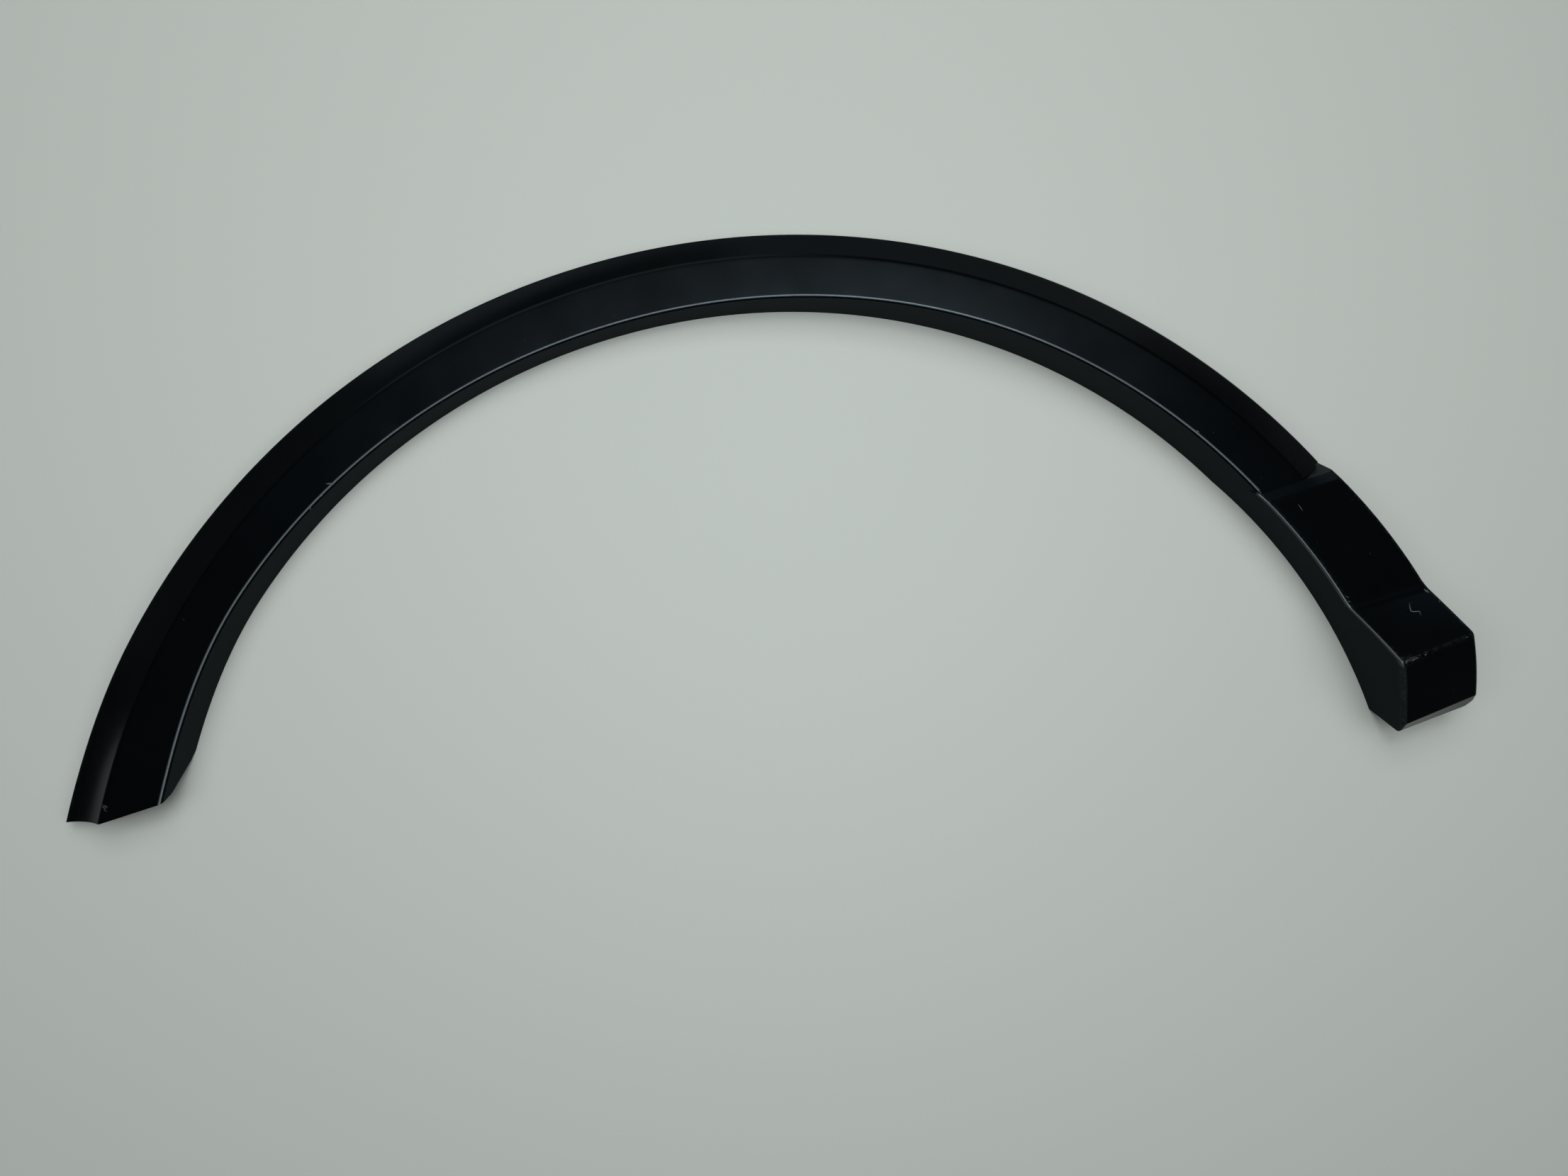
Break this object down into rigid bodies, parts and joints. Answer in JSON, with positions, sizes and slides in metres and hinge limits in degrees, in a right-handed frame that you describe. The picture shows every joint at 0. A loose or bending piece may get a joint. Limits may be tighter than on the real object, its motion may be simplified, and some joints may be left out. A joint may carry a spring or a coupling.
{
  "type": "wheel arch trim",
  "caption": "Black moulded wheel arch trim for a car: a curved channel with an inner flange, a shut line and a raised end block.",
  "frame": {"origin": "under the middle of the trim's box, on the plane that the flange's foot lies on", "axes": "+X along the car towards the raised end block, +Y up on the car, +Z out of the car's side, which is up as the trim lies on a table"},
  "size_m": [0.829, 0.4224, 0.0565],
  "materials": {
    "moulded_plastic": "satin black, lightly scuffed"
  },
  "bodies": {
    "root": {"wheel_arch_trim": "moulded_plastic"}
  },
  "joints": []
}
